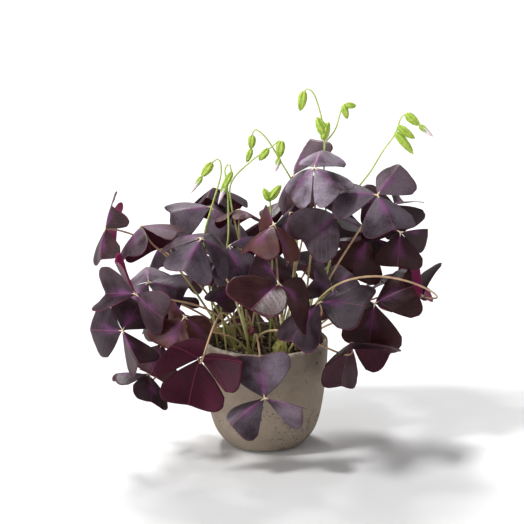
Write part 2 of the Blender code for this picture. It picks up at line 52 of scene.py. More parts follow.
# Sizes that the solids have too.
POT_WALL = 4.2 * MM
POT_FLOOR = 6 * MM
POT_SIDE = ((30, 0), (36, 2), (40.5, 6), (46, 14), (50, 25), (53, 40), (55.5, 60), (57, 80), (57.5, 95))
SOIL_TOP = 89 * MM
SOIL_BUMP = 1.3 * MM
CROWN_TOP = 92 * MM
CROWN_RADIUS = 4.6 * MM
CROWNS = {"a": (-27, -4), "b": (-12, -27), "c": (17, -25), "d": (31, -1), "e": (13, 24), "f": (-15, 22)}
PETIOLE_RADIUS = 0.95 * MM
BLADE = 0.7 * MM
GAP = 0.3 * MM
OUTLINE = ((0, 0.86), (15, 0.93), (32, 1.04), (46, 0.92))
ROWS = (0.42, 0.76)
TURN_LIMIT = radians(57)
SEED = 7
LEAST_CURL = 22
CURL_SPREAD = 10
# Each leaf: its node's name after leaf_, its hub (mm), its leaflets' length (mm), the way its upper face
# looks (compass and lean, degrees), the heading of its first leaflet, how far each leaflet hangs, and how
# sharply each folds.
LEAVES = (
    ("front", (-1, -92, 71), 42, (270, 48), 98, (-28, 10, -12), (-4, 50, 66)),
    ("front_left", (-57, -86, 104), 47, (94, 70), -140, (25, 25, 37), (24, 40, 44)),
    ("star_right", (46, -74, 151), 49, (219, 25), -149, (27, 9, 53), (7, 3, 78)),
    ("big_grey", (63, -17, 216), 48, (277, 80), -138, (-14, 26, 25), (-30, 78, 60)),
    ("middle_star", (7, -60, 216), 39, (134, 5), 101, (-25, 36, 75), (74, 24, -10)),
    ("star_left", (-70, -75, 138), 36, (285, 29), 113, (14, 51, 43), (78, 70, 12)),
    ("centre", (11, -75, 168), 48, (276, 35), 116, (2, -3, 52), (68, -29, 78)),
    ("left", (-111, -59, 155), 39, (186, 75), 125, (-45, 53, -45), (-1, 31, 11)),
    ("right_black", (98, -20, 136), 45, (257, 43), -110, (42, -14, 26), (38, 17, 78)),
    ("second_star", (-91, -51, 108), 34, (273, 47), 127, (7, 38, 13), (78, 69, 66)),
    ("left_star", (-32, -35, 192), 36, (240, 20), 35, (12, 50, 45), (30, 40, 40)),
    ("low_left", (-104, -37, 80), 35, (31, 34), -53, (43, -15, 28), (-1, 18, 23)),
    ("far_left_low", (-124, -66, 124), 43, (267, 80), -180, (34, -30, 50), (61, 56, 42)),
    ("right_pair", (94, -15, 197), 46, (273, 46), 124, (3, 32, 34), (65, 48, 78)),
    ("far_right", (145, -5, 144), 40, (156, 80), 173, (-45, -45, -25), (-5, 17, 39)),
    ("top_grey", (26, 22, 247), 45, (200, 40), 35, (-15, 30, 40), (24, 40, 40)),
    ("top_lilac", (43, -5, 251), 39, (250, 25), 75, (5, 40, 25), (30, 32, 25)),
    ("top_centre", (22, -20, 224), 36, (245, 50), -150, (5, 45, 50), (14, 50, 50)),
    ("right_low", (76, -40, 105), 45, (114, 38), 169, (57, 27, 22), (19, 17, 18)),
    ("upper_left", (-50, 20, 217), 46, (280, 30), -165, (5, 25, 30), (24, 30, 35)),
    ("grey_pair", (-55, -48, 201), 41, (285, 35), -110, (20, 40, 40), (30, 40, 44)),
    ("left_high", (-110, -15, 206), 40, (168, 27), -135, (33, 37, 49), (7, 3, 52)),
    ("far_left", (-144, 5, 200), 35, (216, 79), -2, (-13, 53, -12), (33, 78, 17)),
    ("right_high", (121, 50, 214), 35, (258, 62), -69, (46, 66, -11), (53, -30, 17)),
    ("right_edge", (122, 14, 194), 41, (269, 39), -97, (39, 19, 7), (59, 63, 19)),
    ("upper_right", (99, 15, 227), 43, (275, 29), 77, (-20, 7, 17), (42, 18, 18)),
    ("lilac_left", (-105, -25, 157), 40, (265, 40), -20, (5, 30, 30), (20, 30, 30)),
    ("behind_star", (60, -40, 148), 34, (269, 60), 161, (-45, -39, 15), (21, 18, 18)),
    ("small_grey", (-30, -25, 152), 33, (265, 40), -90, (5, 30, 30), (25, 30, 30)),
    ("top_wine", (-24, 36, 210), 36, (90, 20), 40, (10, 25, 25), (26, 18, 18)),
    ("right_back", (130, 38, 150), 38, (60, 20), 100, (15, 20, 20), (30, 25, 30)),
    ("glow", (-3, 12, 170), 38, (260, 25), -40, (15, 25, 25), (25, 35, 30)),
    ("back_1", (-95, 60, 178), 42, (150, 30), 100, (20, 35, 25), (30, 24, 40)),
    ("back_2", (-52, 88, 158), 44, (120, 35), 60, (25, 35, 30), (24, 36, 18)),
    ("back_3", (-5, 98, 186), 43, (90, 30), 30, (30, 30, 20), (40, 24, 30)),
    ("back_4", (48, 95, 160), 44, (65, 35), 100, (20, 35, 35), (20, 36, 28)),
    ("back_5", (92, 78, 186), 42, (45, 25), 10, (25, 30, 35), (34, 20, 36)),
    ("back_6", (-98, 30, 128), 40, (165, 35), 130, (20, 30, 35), (26, 36, 20)),
    ("back_7", (28, 60, 214), 42, (80, 20), 80, (25, 25, 30), (20, 34, 40)),
    ("back_8", (-50, 66, 222), 40, (110, 20), 20, (25, 35, 25), (30, 20, 36)),
    ("back_9", (86, 62, 122), 40, (50, 45), 60, (20, 25, 30), (24, 34, 30)),
    ("back_10", (-20, 82, 118), 42, (95, 50), 90, (20, 25, 30), (34, 24, 30)),
)
# The line of sight, along which a leaf was slid until it stood clear.
SIGHT = Vector((0.0, 0.976, -0.22))
STALK_RADIUS = 0.85 * MM
# Each flower stalk: its route, and each bud's root, tip and radius (mm).
STALKS = {
    "stalk_left": (
        ((-44, -9, 74), (-44, -9, 98), (-53, -8, 166), (-55, -7, 195), (-48, -6, 222), (-40, -6, 249),
         (-40, -6, 262), (-43, -6, 265), (-48, -6, 261)),
        (((-48, -6, 261), (-57, -7, 249), 3.4), ((-57, -7, 249), (-66, -8, 235), 2.2))),
    "stalk_left_inner": (
        ((-36, -17, 74), (-36, -17, 98), (-43, -16, 162), (-34, -15, 190), (-33, -14, 215),
         (-34, -14, 244), (-36, -14, 256), (-32, -14, 262), (-30, -14, 254)),
        (((-30, -14, 254), (-40, -15, 236), 2.6), ((-34, -14, 246), (-42, -17, 226), 2.2))),
    "stalk_arching": (
        ((-4, 8, 74), (-4, 8, 98), (-20, 12, 170), (-31, 10, 222), (-30, 8, 243), (-12, 6, 262),
         (5, 5, 274), (12, 5, 280), (15, 5, 279)),
        (((14, 5, 279), (12, 4, 264), 3.6), ((12, 4, 264), (9, 3, 252), 2.3),
         ((2, 5, 272), (-6, 4, 262), 3.0))),
    "stalk_leaning": (
        ((22, 10, 74), (22, 10, 98), (29, 14, 180), (27, 14, 232), (13, 14, 261), (3, 13, 278),
         (-4, 13, 286), (-10, 13, 289), (-12, 13, 283)),
        (((-12, 13, 283), (-13, 13, 271), 3.2), ((-13, 13, 271), (-17, 12, 259), 2.4))),
    "stalk_tall": (
        ((36, 14, 74), (36, 14, 98), (50, 18, 170), (55, 17, 214), (53, 16, 251), (53, 16, 282),
         (49, 15, 304), (43, 15, 321), (37, 15, 325), (34, 15, 322)),
        (((34, 15, 322), (31, 15, 305), 3.6), ((54, 16, 284), (46, 15, 300), 4.2),
         ((52, 16, 280), (57, 15, 296), 3.4))),
    "stalk_right": (
        ((43, -7, 74), (43, -7, 98), (56, -2, 160), (65, 4, 205), (79, 6, 231), (94, 8, 251),
         (106, 9, 271), (116, 10, 285), (121, 10, 300), (126, 10, 303)),
        (((126, 10, 303), (138, 9, 293), 3.6), ((138, 9, 293), (150, 8, 283), 2.4),
         ((119, 10, 292), (134, 9, 281), 3.2), ((117, 10, 286), (133, 9, 267), 3.4))),
    "stalk_short": (
        ((4, -10, 74), (4, -10, 98), (6, -12, 170), (5, -12, 210), (4, -12, 230)),
        (((4, -12, 229), (-2, -13, 240), 3.0), ((4, -12, 230), (14, -13, 243), 3.2))),
}
BRANCH = {"stalk_tall": ((53, 16, 276), (63, 20, 288), (69, 22, 308), (73, 22, 311))}
BRANCH_BUDS = {"stalk_tall": (((70, 22, 309), (74, 22, 297), 2.8), ((72, 22, 310), (82, 22, 309), 2.6))}

# How finely the leaves are meshed, and what each point of them carries.
LEAF_ROWS = 15
LEAF_COLUMNS = 26
SKIN = 0.34 * MM
EDGE_ANGLE = radians(OUTLINE[-1][0])
FIELDS = ("along", "across", "reach", "tone", "painted_sheen_share", "warm", "glow")
# Leaflets: the share left open at the hub, the crowding of rows towards the edge, the rounding of its
# corners, the fullness before it, and the softness of the crease along the midrib.
HUB_SHARE = 0.03
CROWDING = 0.85
CORNER_CUT = 0.07
BELLY = 0.13
CREASE = 1.1 * MM
# Waves of a blade: how many go round the edge or along the midrib, and their share of the swell; the
# swell, spacing and forward sweep of its side veins; and the most painted sheen that a leaf gets by
# chance.
EDGE_WAVES = ((7, 0.55), (15, 0.2))
LONG_WAVES = (6, 0.25)
VEIN_SWELL = 0.35 * 0.35
VEIN_SPACING = 3.6 * MM
VEIN_SWEEP = 0.75
CHANCE_PAINTED_SHEEN = 0.38
# How the solid leaves were placed: turns (degrees) and sizes tried, and steps of slide and lift (mm).
MOVE_TURNS = (0, 12, -12, 24, -24, 36, -36)
MOVE_SIZES = (1, 0.88, 0.76)
SLIDE_STEP = 4
LIFT_STEP = 5
LEAST_FOLD = radians(-35)
FOLD_STEP = radians(2)
# The star on a hub, along each of its arms: steps and radii (mm), and tones.
STAR_STEPS = (-0.6, 0.5, 1.8, 3.2, 4.4)
STAR_RADII = (0.55, 0.85, 0.70, 0.45, 0.15)
STAR_TONES = (0, 0, 0, 0.5, 1)

# Petioles: rings along each, its sides, and how many small scales stand round its crown.
PETIOLE_RINGS = 30
PETIOLE_SIDES = 10
CROWN_SCALES = 16
# A crown's knob: height (mm) and share of its radius. A scale: share of its length, and radius (mm).
KNOB = ((0, 1.0), (4, 1.0), (6, 0.85), (7.4, 0.5), (8, 0.1))
SCALE_SHAPE = ((0, 1.1), (0.4, 1.0), (0.75, 0.6), (1, 0.1))
# Flower stalks: points along a stalk and a branch, the radius (mm) under which a bud shows petals, and
# the one stalk whose buds stay green.
STALK_POINTS = 60
BRANCH_POINTS = 16
PETAL_LIMIT = 2.41
GREEN_STALK = "stalk_leaning"
# A bud and a sepal: the share of the length and of the radius at each ring.
BUD_SHAPE = ((-0.06, 0.3), (0.04, 0.55), (0.16, 0.86), (0.34, 1.0), (0.52, 0.98), (0.7, 0.8), (0.86, 0.5),
             (0.96, 0.24), (1.0, 0.06))
SEPALS = 5
SEPAL_SPINE = ((-0.04, 0.3), (0.12, 0.62), (0.35, 0.84), (0.7, 0.80), (1.0, 0.52))
SEPAL_RADII = (0.25, 0.42, 0.44, 0.3, 0.06)

# Pot and soil: steps of the turning, the lip's and foot's profiles (radius and height, mm), the depth of
# the soil's skirt, and how many grains and tufts lie on it.
POT_TURNS = 160
POT_LIP = ((57.45, 96.8), (57.1, 98.1), (56.2, 98.85), (55.2, 99.0), (54.1, 98.6), (53.5, 97.6),
           (53.25, 96))
POT_FOOT = ((0, 0), (12, 0), (24, 0))
SOIL_RINGS = 60
SOIL_TURNS = 150
SOIL_SKIRT = 12 * MM
GRAINS = 1500
MOSS_TUFTS = 26
TUFT_GRAINS = 34
MOSS_TONE = 2.0
# The youngest leaf's stem (mm) and its folded leaflets: drop and reach from the stem's end, and radius.
YOUNG_ROUTE = ((-15.9, -25, 86), (-16.2, -25, 98), (-17, -25, 112), (-16, -25, 119.5),
               (-13.6, -25, 119.5), (-12.9, -25, 117))
YOUNG_FOLD = ((-0.4, 0.2, 0.4), (2.2, 0.9, 1.2), (5.0, 1.3, 1.5), (7.6, 0.9, 1.0), (9.0, 0.3, 0.2))
# The withered leaflet: its foot, length and half width (mm), and how many squares it has each way.
WITHERED_FOOT = Vector((13, -31, 88)) * MM
WITHERED_LENGTH = 15.5
WITHERED_HALF_WIDTH = 6.6
WITHERED_SQUARES = 14

# The room and the camera.
FLOOR_SIZE = 60
FLOOR_DEPTH = 0.4 * MM
FLOOR_WHITE = (0.84, 0.84, 0.84, 1.0)
SKY_STRENGTH = 0.38
CAMERA_PLACE = Vector((-0.0031, -1.2, 0.44))
CAMERA_AIM = Vector((-0.0031, 0, 0.17))
CAMERA_LENS = 93.2
CAMERA_SENSOR = 36
# Each light: where it shines from, its strength and how soft it is (degrees).
SUNS = (("key", (-0.7, -0.35, 1.0), 1.9, 9), ("back", (-0.25, 0.8, 1.0), 2.2, 14),
        ("side", (-1.0, -0.62, 0.20), 1.35, 25))

# How much painted grey sheen, a painted reflection of the light, lies on a leaf's upper face where it
# stands out.
PAINTED_SHEEN = {"lilac_left": 1.0, "top_lilac": 1.25, "grey_pair": 0.35, "low_left": 0.12, "front": 0.4,
         "big_grey": 0.22, "upper_right": 0.35, "left_high": 0.4, "behind_star": 0.5, "upper_left": 0.45,
         "left_star": 0.3, "top_grey": 0.25, "right_black": 0.0, "right_low": 0.05, "far_left_low": 0.08,
         "left": 0.12, "star_right": 0.1}
# How wine-red or brown a leaf's upper face is, leaflet by leaflet.
WARM = {"star_left": (0.9, 0.8, 1.0), "middle_star": (0.9, 0.8, 1.0), "left": (0.1, 0.2, 0.7),
        "left_high": (0.2, 0.7, 0.6), "top_wine": (0.9, 0.9, 0.9), "top_grey": (0.35, 0.2, 0.6),
        "second_star": (0.5, 0.5, 0.7), "right_pair": (0.1, 0.5, 0.1), "centre": (0.1, 0.4, 0.5)}
# Leaves so thin and backlit that they glow magenta from below; the glow is painted into the underside's
# colour.
GLOW = {"far_left": 1.0, "left": 0.8, "glow": 1.0, "far_right": 0.45, "front_left": 0.04}


def add_object(name, bm, materials, smooth=True):
    """A new mesh object from a bmesh."""
    mesh = bpy.data.meshes.new(name)
    bm.to_mesh(mesh)
    bm.free()
    for paint in materials:
        mesh.materials.append(paint)
    if smooth:
        mesh.shade_smooth()
    thing = bpy.data.objects.new(name, mesh)
    scene.collection.objects.link(thing)
    return thing


def start_mesh():
    """An empty bmesh, and its layer for the tone of each point."""
    bm = bmesh.new()
    return bm, bm.verts.layers.float.new("tone")


def smooth_step(low, high, value):
    """0 below low, 1 above high and an even rise between."""
    t = min(1.0, max(0.0, (value - low) / (high - low)))
    return t * t * (3 - 2 * t)


def curve_through(points, steps):
    """Even points along a Catmull-Rom curve through the given ones."""
    path = [Vector(p) for p in points]
    ends = [path[0] * 2 - path[1]] + path + [path[-1] * 2 - path[-2]]
    fine = []
    for a, b, c, d in zip(ends, ends[1:], ends[2:], ends[3:]):
        for k in range(8):
            t = k / 8
            fine.append(0.5 * (2 * b + (c - a) * t + (2 * a - 5 * b + 4 * c - d) * t * t
                               + (3 * b - 3 * c + d - a) * t * t * t))
    fine.append(path[-1])
    runs = np.concatenate([[0], np.cumsum([(q - p).length for p, q in zip(fine, fine[1:])])])
    marks = np.linspace(0, runs[-1], steps + 1)
    return [Vector([float(np.interp(m, runs, [p[i] for p in fine])) for i in range(3)]) for m in marks]


def add_tube(bm, points, radii, sides, layer, tones, material=0):
    """A closed tube: a disc extruded from point to point. A tone for each point goes into the layer."""
    side = (points[1] - points[0]).orthogonal().normalized()
    disc = bmesh.ops.create_circle(bm, cap_ends=True, segments=sides, radius=1.0)["verts"]
    cap = disc[0].link_faces[0]
    unit = [vert.co.copy() for vert in cap.verts]
    skin = []
    for i, (point, radius, tone) in enumerate(zip(points, radii, tones)):
        ahead = (points[min(i + 1, len(points) - 1)] - points[max(i - 1, 0)]).normalized()
        side = (side - ahead * side.dot(ahead)).normalized()
        if i:
            inner = cap
            made = bmesh.ops.extrude_face_region(bm, geom=[cap])["geom"]
            cap = [part for part in made if isinstance(part, bmesh.types.BMFace)][0]
            if i > 1:
                bm.faces.remove(inner)
        place = Matrix((side.cross(ahead), side, ahead)).transposed() * radius
        for vert, spot in zip(cap.verts, unit):
            vert.co = place @ spot + point
            vert[layer] = tone
            skin.append(vert)
    faces = list(dict.fromkeys(face for vert in skin for face in vert.link_faces))
    bmesh.ops.recalc_face_normals(bm, faces=faces)
    for face in faces:
        face.material_index = material


def turn_profile(bm, profile, steps):
    """Turn a profile of radius and height round the upright axis."""
    verts = [bm.verts.new((radius, 0, height)) for radius, height in profile]
    edges = [bm.edges.new(pair) for pair in zip(verts, verts[1:])]
    bmesh.ops.spin(bm, geom=verts + edges, axis=(0, 0, 1), cent=(0, 0, 0), angle=tau, steps=steps,
                   use_merge=True, use_duplicate=False)
    bmesh.ops.remove_doubles(bm, verts=bm.verts, dist=0.01 * MM)


class Paint:
    """A node material under construction."""

    def __init__(self, name):
        self.material = bpy.data.materials.new(name)
        self.material.use_nodes = True
        self.tree = self.material.node_tree
        self.shader = self.tree.nodes["Principled BSDF"]
        self.output = self.tree.nodes["Material Output"]

    def node(self, kind, inputs=None, **settings):
        """A node with its settings and inputs; an input is a value or another node's socket."""
        made = self.tree.nodes.new(kind)
        for key, value in settings.items():
            setattr(made, key, value)
        for key, value in (inputs or {}).items():
            self.feed(made.inputs[key], value)
        return made

    def feed(self, socket, value):
        """Set or link a socket."""
        if isinstance(value, bpy.types.NodeSocket):
            self.tree.links.new(value, socket)
        elif value is not None:
            socket.default_value = value

    def math(self, operation, a, b=None):
        """A Math node's result."""
        made = self.node("ShaderNodeMath", operation=operation)
        for socket, value in zip(made.inputs, (a, b)):
            self.feed(socket, value)
        return made.outputs[0]

    def times(self, a, b):
        """One value times another."""
        return self.math("MULTIPLY", a, b)

    def plus(self, a, b):
        """One value and another."""
        return self.math("ADD", a, b)

    def mix(self, share, a, b):
        """A colour mix."""
        made = self.node("ShaderNodeMix", data_type="RGBA")
        self.feed(made.inputs["Factor"], share)
        for name, value in (("A", a), ("B", b)):
            socket = [s for s in made.inputs if s.name == name and s.type == "RGBA"][0]
            self.feed(socket, (*value, 1.0) if isinstance(value, tuple) and len(value) == 3 else value)
        return [s for s in made.outputs if s.type == "RGBA"][0]

    def ramp(self, value, low, high):
        """A value rising smoothly from 0 to 1 between low and high."""
        ends = {"Value": value, "From Min": low, "From Max": high}
        return self.node("ShaderNodeMapRange", ends, interpolation_type="SMOOTHSTEP").outputs["Result"]

    def fall(self, value, low, high):
        """A value falling smoothly from 1 to 0 between low and high."""
        return self.math("SUBTRACT", 1.0, self.ramp(value, low, high))

    def noise(self, scale, detail=4.0, roughness=0.55, coordinates=None):
        """Noise in object space, or at other coordinates."""
        place = coordinates or self.node("ShaderNodeTexCoord").outputs["Object"]
        made = self.node("ShaderNodeTexNoise", {"Vector": place, "Scale": scale, "Detail": detail,
                                                "Roughness": roughness})
        return made.outputs["Fac"]

    def cells(self, scale):
        """The distance to the nearest of scattered points in object space."""
        place = self.node("ShaderNodeTexCoord").outputs["Object"]
        return self.node("ShaderNodeTexVoronoi", {"Vector": place, "Scale": scale}).outputs["Distance"]

    def coat(self, base, mask, share, colour):
        """The base with a share of another colour where the mask says."""
        return self.mix(self.times(mask, share), base, colour)

    def mottle(self, scale, low, high, first, second, detail=4.0, roughness=0.55):
        """Two colours mottled by noise."""
        return self.mix(self.ramp(self.noise(scale, detail, roughness), low, high), first, second)

    def attribute(self, name):
        """A number stored on the mesh."""
        return self.node("ShaderNodeAttribute", attribute_name=name).outputs["Fac"]

    def bump(self, height, strength, distance):
        """A bump into the shader's normal."""
        made = self.node("ShaderNodeBump", {"Height": height, "Strength": strength, "Distance": distance})
        self.feed(self.shader.inputs["Normal"], made.outputs["Normal"])
        return made.outputs["Normal"]

    def set(self, **values):
        """Set the shader's own sockets."""
        for key, value in values.items():
            self.feed(self.shader.inputs[key.replace("_", " ")], value)

    def finish(self, base, roughness):
        """The finished material."""
        self.set(Base_Color=base, Roughness=roughness)
        return self.material


def start_leaf(paint):
    """What each point carries, thin side veins that leave the midrib forwards, and the midrib itself."""
    fields = {name: paint.attribute(name) for name in FIELDS}
    across = paint.math("ABSOLUTE", fields["across"])
    swept = paint.math("SUBTRACT", fields["along"], paint.times(across, VEIN_SWEEP))
    wobble = paint.times(paint.noise(75.0, 3.0), 6.5)
    phase = paint.math("FRACT", paint.math("DIVIDE", paint.plus(swept, wobble), 4.4))
    off = paint.math("ABSOLUTE", paint.math("SUBTRACT", phase, 0.5))
    side = paint.times(paint.fall(off, 0.0, 0.085), paint.ramp(across, 0.6, 2.2))
    midrib = paint.fall(across, 0.15, 0.55)
    return fields, side, midrib


def make_leaf_top():
    """The upper face: near-black purple, a painted grey sheen of reflected light, a violet flame by the
    midrib and fine veins.
    """
    night, plum, dusk = (0.0045, 0.0022, 0.0032), (0.016, 0.007, 0.011), (0.027, 0.012, 0.020)
    chestnut, copper, grey = (0.055, 0.010, 0.014), (0.115, 0.035, 0.022), (0.38, 0.31, 0.39)
    violet, dull_rose = (0.23, 0.055, 0.22), (0.15, 0.05, 0.11)
    rose, red = (0.26, 0.06, 0.14), (0.25, 0.03, 0.08)
    paint = Paint("leaf_top")
    fields, side, midrib = start_leaf(paint)
    mottling = paint.noise(60.0, 5.0, 0.6)
    base = paint.mix(fields["tone"], night, plum)
    base = paint.coat(base, paint.ramp(mottling, 0.35, 0.75), 0.7, dusk)
    base = paint.mix(fields["warm"], base, paint.mix(paint.ramp(mottling, 0.3, 0.7), chestnut, copper))
    # Painted reflection: a grey sheen of reflected light, painted into the colour with a fine grain.
    painted_sheen = paint.times(paint.ramp(paint.noise(30.0, 5.0), 0.28, 0.68), fields["painted_sheen_share"])
    grain = paint.times(paint.ramp(paint.noise(800.0, 4.0, 0.7), 0.3, 0.75), 0.55)
    base = paint.mix(paint.times(painted_sheen, paint.plus(0.75, grain)), base, grey)
    width = paint.math("MAXIMUM", paint.times(fields["along"], 0.42), 0.5)
    across = paint.math("ABSOLUTE", fields["across"])
    flame = paint.fall(paint.math("DIVIDE", across, width), 0.35, 1.0)
    flame = paint.times(flame, paint.fall(fields["along"], 15.0, 30.0))
    flame = paint.times(flame, paint.times(paint.ramp(mottling, 0.2, 0.7), 0.55))
    base = paint.mix(flame, base, violet)
    base = paint.coat(base, side, 0.14, dull_rose)
    base = paint.coat(base, midrib, 0.60, rose)
    # A thin red rim at the blade's edge: partly its own red margin, partly a painted rim highlight.
    base = paint.coat(base, paint.ramp(fields["reach"], 0.975, 1.0), 0.5, red)
    height = paint.plus(paint.times(paint.math("MAXIMUM", side, midrib), -0.6),
                        paint.times(paint.noise(420.0, 3.0), 0.8))
    roughness = paint.plus(0.28, paint.times(mottling, 0.26))
    paint.set(Specular_IOR_Level=0.18)
    paint.set(Sheen_Weight=0.02, Sheen_Roughness=0.45, Sheen_Tint=(0.80, 0.74, 0.90, 1.0))
    return finish_leaf(paint, base, roughness, height, (0.50, 0.008, 0.16, 1.0), 0.07)


def make_leaf_under():
    """The underside: wine red with paler raised veins, and a painted magenta glow of backlight where the
    glow field says.
    """
    wine, claret, dark_wine = (0.030, 0.004, 0.010), (0.080, 0.008, 0.024), (0.030, 0.006, 0.014)
    magenta, rose, pink = (0.42, 0.012, 0.15), (0.22, 0.03, 0.09), (0.34, 0.07, 0.11)
    paint = Paint("leaf_under")
    fields, side, midrib = start_leaf(paint)
    base = paint.mottle(55.0, 0.3, 0.75, wine, claret, 5.0, 0.6)
    base = paint.coat(base, fields["tone"], 0.6, dark_wine)
    # Painted backlight: the magenta glow of light through the leaf, painted into the colour.
    base = paint.mix(fields["glow"], base, magenta)
    base = paint.coat(base, side, 0.16, rose)
    base = paint.coat(base, midrib, 0.60, pink)
    height = paint.plus(paint.math("MAXIMUM", side, midrib), paint.noise(420.0, 3.0))
    paint.set(Specular_IOR_Level=0.2)
    paint.set(Sheen_Weight=0.05, Sheen_Roughness=0.4, Sheen_Tint=(0.9, 0.6, 0.75, 1.0))
    return finish_leaf(paint, base, 0.48, height, (0.62, 0.008, 0.20, 1.0), 0.16)


def finish_leaf(paint, base, roughness, height, glow, share):
    """A blade's finished surface, which lets a share of the light through."""
    normal = paint.bump(height, 0.35, 0.0004)
    through = paint.node("ShaderNodeBsdfTranslucent", {"Color": glow, "Normal": normal})
    surfaces = {0: share, 1: paint.shader.outputs[0], 2: through.outputs[0]}
    paint.feed(paint.output.inputs["Surface"], paint.node("ShaderNodeMixShader", surfaces).outputs[0])
    return paint.finish(base, roughness)


def make_stem_paint(name, low, high, foot):
    """A stem: one colour at its foot, two mottled above, and a fine bumpy surface."""
    paint = Paint(name)
    base = paint.mottle(160.0, 0.3, 0.7, low, high)
    base = paint.mix(paint.ramp(paint.attribute("tone"), 0.0, 1.0), foot, base)
    paint.bump(paint.noise(900.0, 3.0), 0.25, 0.0003)
    paint.set(Subsurface_Weight=0.12, Subsurface_Scale=0.002)
    return paint.finish(base, 0.42)


def make_bud_paint():
    """A bud: lime sepals that turn to a pale pink tube, by the tone on the mesh."""
    lime, light_lime = (0.30, 0.46, 0.045), (0.50, 0.62, 0.10)
    pink, cream = (0.80, 0.60, 0.68), (0.88, 0.80, 0.78)
    paint = Paint("bud")
    green = paint.mottle(300.0, 0.3, 0.7, lime, light_lime, 3.0)
    pale = paint.mottle(240.0, 0.3, 0.7, pink, cream, 2.0)
    base = paint.mix(paint.ramp(paint.attribute("tone"), 0.45, 0.62), green, pale)
    paint.bump(paint.noise(700.0, 3.0), 0.25, 0.0003)
    paint.set(Subsurface_Weight=0.2, Subsurface_Scale=0.003)
    return paint.finish(base, 0.45)


def make_young_paint():
    """The pink of a leaf that hasn't opened."""
    deep_pink, light_pink = (0.34, 0.03, 0.10), (0.62, 0.16, 0.22)
    paint = Paint("young_leaf")
    base = paint.mottle(300.0, 0.35, 0.7, deep_pink, light_pink)
    paint.bump(paint.noise(800.0), 0.3, 0.0003)
    return paint.finish(base, 0.5)


def make_withered_paint():
    """Yellow-green with brown spots."""
    yellow_green, straw, brown = (0.62, 0.62, 0.12), (0.90, 0.90, 0.40), (0.24, 0.14, 0.04)
    paint = Paint("withered_leaf")
    base = paint.mottle(210.0, 0.3, 0.7, yellow_green, straw)
    base = paint.mottle(420.0, 0.60, 0.72, base, brown)
    paint.bump(paint.noise(600.0, 4.0), 0.5, 0.0005)
    return paint.finish(base, 0.6)


def make_hub_paint():
    """The pale star where the leaflets meet."""
    cream, russet, ivory = (0.78, 0.62, 0.42), (0.45, 0.16, 0.14), (0.85, 0.72, 0.52)
    paint = Paint("hub_star")
    base = paint.mottle(500.0, 0.4, 0.7, paint.mix(paint.attribute("tone"), cream, russet), ivory)
    paint.bump(paint.noise(900.0), 0.2, 0.0002)
    return paint.finish(base, 0.5)


def make_pot_paint():
    """Weathered grey-brown clay: mottled, darker towards the foot, stained low on the right, chipped, and
    worn lighter at the lip.
    """
    dark_clay, light_clay, dusty_clay = (0.215, 0.163, 0.120), (0.345, 0.270, 0.205), (0.37, 0.305, 0.24)
    ring_brown, stain_brown, foot_brown = (0.15, 0.125, 0.10), (0.12, 0.10, 0.08), (0.16, 0.13, 0.10)
    blot_brown, worn_clay = (0.060, 0.038, 0.024), (0.58, 0.52, 0.43)
    chip_black, speck_white = (0.035, 0.030, 0.026), (0.62, 0.58, 0.52)
    paint = Paint("pot_clay")
    place = paint.node("ShaderNodeTexCoord").outputs["Object"]
    axes = paint.node("ShaderNodeSeparateXYZ", {0: place})
    height, right = axes.outputs["Z"], axes.outputs["X"]
    fine = paint.noise(160.0, 6.0, 0.65)
    base = paint.mottle(14.0, 0.30, 0.70, dark_clay, light_clay, 6.0, 0.6)
    base = paint.coat(base, paint.ramp(fine, 0.45, 0.75), 0.45, dusty_clay)
    stretched = paint.node("ShaderNodeMapping", {"Vector": place, "Scale": (1.0, 1.0, 5.0)}).outputs[0]
    rings = paint.noise(55.0, 4.0, 0.6, stretched)
    base = paint.coat(base, paint.ramp(rings, 0.5, 0.8), 0.25, ring_brown)
    base = paint.coat(base, paint.ramp(paint.noise(26.0, 5.0, 0.7), 0.55, 0.72), 0.5, stain_brown)
    # Darker towards the foot.
    base = paint.coat(base, paint.fall(height, 0.0, 0.045), 0.35, foot_brown)
    corner = paint.times(paint.ramp(right, 0.004, 0.024), paint.fall(height, 0.022, 0.055))
    blots = paint.times(corner, paint.ramp(paint.noise(75.0, 6.0, 0.75), 0.53, 0.64))
    base = paint.coat(base, blots, 0.8, blot_brown)
    lip = paint.times(paint.ramp(height, 0.0950, 0.0980), paint.ramp(fine, 0.30, 0.60))
    base = paint.coat(base, lip, 0.80, worn_clay)
    specks = paint.times(paint.fall(paint.cells(330.0), 0.16, 0.30),
                         paint.ramp(paint.noise(30.0, 3.0), 0.50, 0.62))
    ragged = paint.plus(paint.cells(62.0), paint.times(paint.noise(210.0, 3.0), 0.25))
    chips = paint.math("MAXIMUM", specks, paint.fall(ragged, 0.17, 0.22))
    base = paint.coat(base, chips, 0.85, chip_black)
    spots = paint.times(paint.fall(paint.cells(210.0), 0.07, 0.16),
                        paint.ramp(paint.noise(21.0, 3.0), 0.55, 0.66))
    base = paint.coat(base, spots, 0.7, speck_white)
    relief = paint.plus(paint.times(fine, 0.7), paint.times(chips, -1.2))
    relief = paint.plus(relief, paint.times(paint.noise(700.0, 4.0), 0.3))
    paint.bump(relief, 0.5, 0.0007)
    return paint.finish(base, paint.plus(0.62, paint.times(fine, 0.3)))


def make_soil_paint():
    """Dark moist soil with brown fibres."""
    black_peat, brown_peat, fibre = (0.012, 0.008, 0.006), (0.075, 0.045, 0.026), (0.11, 0.07, 0.04)
    paint = Paint("potting_soil")
    fine = paint.noise(300.0, 8.0, 0.7)
    base = paint.mix(paint.ramp(fine, 0.35, 0.65), black_peat, brown_peat)
    base = paint.mottle(90.0, 0.55, 0.75, base, fibre, 5.0)
    paint.bump(paint.plus(fine, paint.noise(900.0, 5.0)), 0.8, 0.0012)
    return paint.finish(base, 0.9)


